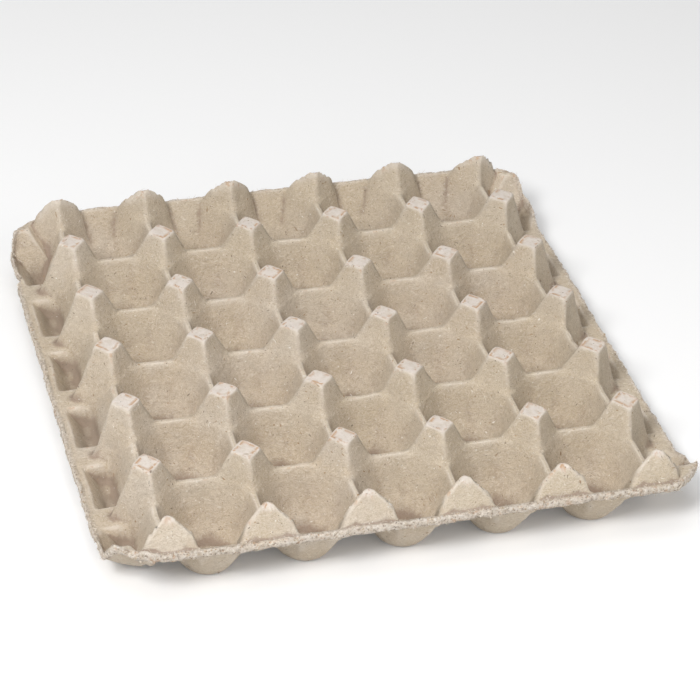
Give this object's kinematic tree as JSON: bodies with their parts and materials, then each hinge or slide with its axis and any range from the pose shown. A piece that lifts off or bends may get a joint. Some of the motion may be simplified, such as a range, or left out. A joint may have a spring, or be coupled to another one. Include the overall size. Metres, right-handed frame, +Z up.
{
  "type": "pulp egg tray",
  "caption": "Square moulded pulp tray whose deep cells stand between hollow tapered posts, with a deckled rim and shallow wells along its sides.",
  "frame": {"origin": "middle of the plane that the cell floors rest on", "axes": "+X runs along a row of five cells, +Y along a row of six, +Z up out of the cells"},
  "size_m": [0.295, 0.295, 0.045],
  "materials": {
    "pulp": "matt"
  },
  "bodies": {
    "root": {"egg_tray": "pulp"}
  },
  "joints": []
}
